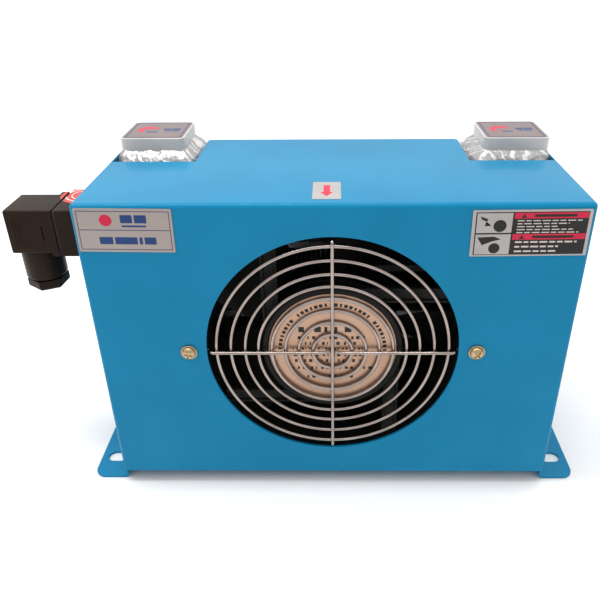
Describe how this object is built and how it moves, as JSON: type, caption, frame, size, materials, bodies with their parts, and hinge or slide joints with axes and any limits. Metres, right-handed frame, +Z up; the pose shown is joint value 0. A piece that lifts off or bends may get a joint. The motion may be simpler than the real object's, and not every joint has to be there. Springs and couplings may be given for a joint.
{
  "type": "hydraulic oil cooler",
  "caption": "Air-blast hydraulic oil cooler: blue folded housing on feet, brazed oil core with welded ports, axial fan behind a wire finger guard, and a square cable connector.",
  "frame": {"origin": "bottom centre of the whole cooler's box, on the plane that the feet stand on", "axes": "+X to the right and +Y to the back, seen from the fan side; +Z up"},
  "size_m": [0.337, 0.13, 0.1995],
  "materials": {
    "blue_powder_coat": "blue textured powder coat, half gloss",
    "core_aluminium": "plain brazed aluminium, matt",
    "weld_aluminium": "bright rippled weld bead",
    "fan_black": "black, half gloss",
    "label_foil": "pale warm printed foil",
    "steel": "plain bright steel",
    "copper_winding": "enamelled copper wire",
    "chrome_wire": "bright chrome plate",
    "yellow_zinc": "yellow passivated zinc plate on steel",
    "warning_film": "printed film",
    "black_polyamide": "black moulded polyamide, fine grain",
    "black_rubber": "matt",
    "brass_contact": "plain brass",
    "cable_sheath": "smooth black sheath"
  },
  "bodies": {
    "housing": {"housing_shroud": "blue_powder_coat", "bottom_tray": "blue_powder_coat", "core_tank_left": "core_aluminium", "core_tank_right": "core_aluminium", "port_boss_left": "core_aluminium", "port_boss_right": "core_aluminium", "port_weld_left": "weld_aluminium", "port_weld_right": "weld_aluminium", "core_bottom_plate": "core_aluminium", "core_top_plate": "core_aluminium", "oil_tube_1": "core_aluminium", "oil_tube_2": "core_aluminium", "oil_tube_3": "core_aluminium", "oil_tube_4": "core_aluminium", "oil_tube_5": "core_aluminium", "oil_tube_6": "core_aluminium", "oil_tube_7": "core_aluminium", "oil_tube_8": "core_aluminium", "oil_tube_9": "core_aluminium", "air_fin_1": "core_aluminium", "air_fin_2": "core_aluminium", "air_fin_3": "core_aluminium", "air_fin_4": "core_aluminium", "air_fin_5": "core_aluminium", "air_fin_6": "core_aluminium", "air_fin_7": "core_aluminium", "air_fin_8": "core_aluminium", "air_fin_9": "core_aluminium", "air_fin_10": "core_aluminium", "core_bolt_left_lower": "steel", "core_bolt_left_upper": "steel", "core_bolt_right_lower": "steel", "core_bolt_right_upper": "steel", "fan_frame": "fan_black", "fan_hub_disc": "label_foil", "stator_core": "steel", "stator_winding": "copper_winding", "bearing_front": "steel", "bearing_rear": "steel", "finger_guard": "chrome_wire", "fan_screw_left": "yellow_zinc", "fan_screw_right": "yellow_zinc", "fan_washer_left": "yellow_zinc", "fan_washer_right": "yellow_zinc", "fan_lead": "cable_sheath", "connector_base": "black_polyamide", "contact_pin_line": "brass_contact", "contact_pin_neutral": "brass_contact", "contact_pin_earth": "brass_contact", "nameplate": "label_foil", "warning_label": "warning_film"},
    "fan_rotor": {"rotor_shaft": "steel", "rotor_cup": "fan_black", "fan_impeller": "fan_black"},
    "plug": {"plug_housing": "black_polyamide", "plug_insert": "black_polyamide", "connector_seal": "black_rubber", "gland_seal": "black_rubber"},
    "plug_screw": {"plug_fixing_screw": "steel"},
    "gland_nut": {"gland_nut": "black_polyamide"}
  },
  "joints": [
    {"name": "fan_spin", "type": "hinge", "parent": "housing", "child": "fan_rotor", "pos_m": [0.01465, -0.0342, 0.1002], "axis": [0, 1, 0], "continuous": true},
    {"name": "plug_pull", "type": "slide", "parent": "housing", "child": "plug", "axis": [-1, 0, 0], "range_m": [0, 0.025]},
    {"name": "plug_screw_turn", "type": "hinge", "parent": "plug", "child": "plug_screw", "pos_m": [-0.16135, -0.01985, 0.1614], "axis": [1, 0, 0], "continuous": true},
    {"name": "gland_nut_turn", "type": "hinge", "parent": "plug", "child": "gland_nut", "pos_m": [-0.15645, -0.01985, 0.128], "axis": [0, 0, 1], "continuous": true}
  ]
}
